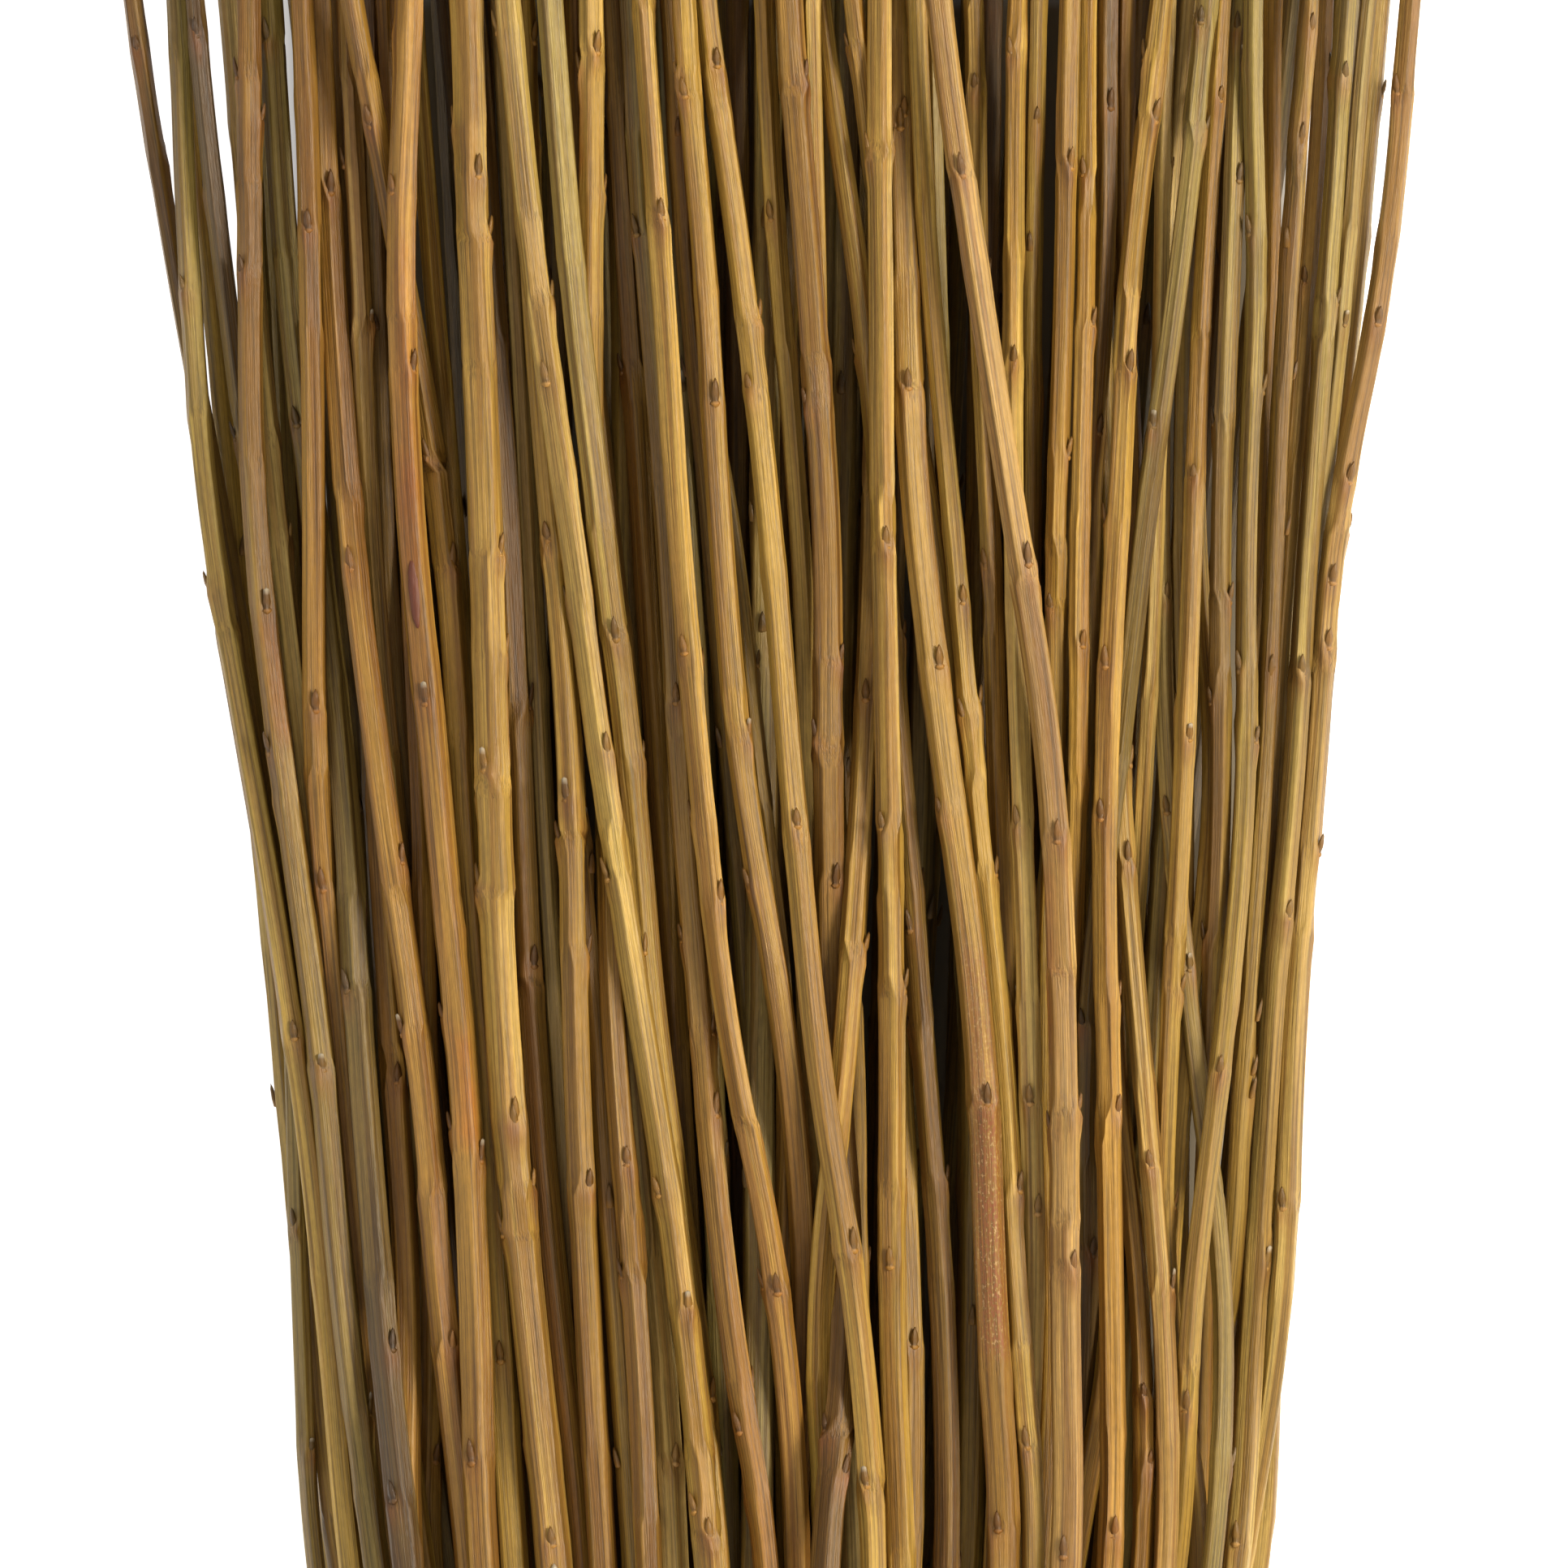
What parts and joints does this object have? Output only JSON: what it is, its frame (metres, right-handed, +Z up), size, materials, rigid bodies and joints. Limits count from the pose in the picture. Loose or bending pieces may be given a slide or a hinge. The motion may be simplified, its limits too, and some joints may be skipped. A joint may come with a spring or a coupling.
{
  "type": "bunch of dried willow stems",
  "caption": "Long tied bunch of bare dried willow stems with buds, fanned out towards the tips, lying on a surface.",
  "frame": {"origin": "on the surface, under the middle of one of the twine's turns, where the bunch rests", "axes": "+Z up from the surface, +Y along the stems from the cut butts to the tips, +X across the bunch"},
  "size_m": [0.3353, 1.2129, 0.1042],
  "materials": {
    "willow_bark": "dry, faintly waxy bark",
    "jute_twine": "rough spun fibre"
  },
  "bodies": {
    "root": {"stems_01": "willow_bark", "stems_02": "willow_bark", "stems_03": "willow_bark", "stems_04": "willow_bark", "stems_05": "willow_bark", "stems_06": "willow_bark", "stems_07": "willow_bark", "stems_08": "willow_bark", "stems_09": "willow_bark", "stems_10": "willow_bark", "stems_11": "willow_bark", "stems_12": "willow_bark", "stems_13": "willow_bark", "stems_14": "willow_bark", "stems_15": "willow_bark", "stems_16": "willow_bark", "stems_17": "willow_bark", "stems_18": "willow_bark", "stems_19": "willow_bark", "stems_20": "willow_bark", "stems_21": "willow_bark", "stems_22": "willow_bark", "stems_23": "willow_bark", "stems_24": "willow_bark", "stems_25": "willow_bark", "stems_26": "willow_bark", "stems_27": "willow_bark", "stems_28": "willow_bark", "stems_29": "willow_bark", "stems_30": "willow_bark", "stems_31": "willow_bark", "stems_32": "willow_bark", "stems_33": "willow_bark", "stems_34": "willow_bark", "stems_35": "willow_bark", "stems_36": "willow_bark", "stems_37": "willow_bark", "stems_38": "willow_bark", "stems_39": "willow_bark", "stems_40": "willow_bark", "stems_41": "willow_bark", "tie": "jute_twine"}
  },
  "joints": []
}
